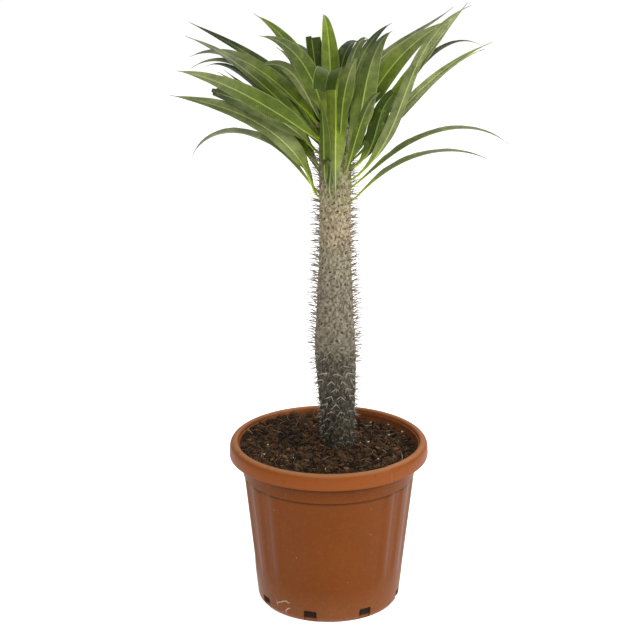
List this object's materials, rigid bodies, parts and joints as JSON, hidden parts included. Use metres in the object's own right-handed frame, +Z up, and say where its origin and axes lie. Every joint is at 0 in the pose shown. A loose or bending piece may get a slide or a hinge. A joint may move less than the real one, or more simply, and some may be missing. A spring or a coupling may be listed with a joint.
{
  "type": "madagascar palm",
  "caption": "Spiny columnar stem succulent with a rosette of long folded leaves, growing in a round ribbed plastic nursery pot with drain slots.",
  "frame": {"origin": "centre of the pot's floor, on the surface that the pot stands on", "axes": "+Z up, +X to the right of the plant seen from its front, +Y towards its back"},
  "size_m": [0.4238, 0.3721, 0.8238],
  "materials": {
    "pot_plastic": "satin",
    "potting_soil": "matte",
    "bark": "matte",
    "leaf": "satin"
  },
  "bodies": {
    "root": {"pot": "pot_plastic", "soil": "potting_soil", "stem": "bark", "leaf_01": "leaf", "leaf_02": "leaf", "leaf_03": "leaf", "leaf_04": "leaf", "leaf_05": "leaf", "leaf_06": "leaf", "leaf_07": "leaf", "leaf_08": "leaf", "leaf_09": "leaf", "leaf_10": "leaf", "leaf_11": "leaf", "leaf_12": "leaf", "leaf_13": "leaf", "leaf_14": "leaf", "leaf_15": "leaf", "leaf_16": "leaf", "leaf_17": "leaf", "leaf_18": "leaf", "leaf_19": "leaf", "leaf_20": "leaf", "leaf_21": "leaf", "leaf_22": "leaf", "leaf_23": "leaf", "leaf_24": "leaf", "leaf_25": "leaf", "leaf_26": "leaf", "leaf_27": "leaf", "leaf_28": "leaf", "leaf_29": "leaf", "leaf_30": "leaf", "leaf_31": "leaf", "leaf_32": "leaf", "leaf_33": "leaf", "leaf_34": "leaf", "leaf_35": "leaf", "leaf_36": "leaf", "leaf_37": "leaf", "leaf_38": "leaf", "leaf_39": "leaf", "leaf_40": "leaf", "leaf_41": "leaf", "leaf_42": "leaf", "leaf_43": "leaf", "leaf_44": "leaf", "leaf_45": "leaf", "leaf_46": "leaf", "leaf_47": "leaf", "leaf_48": "leaf", "leaf_49": "leaf", "leaf_50": "leaf"}
  },
  "joints": []
}
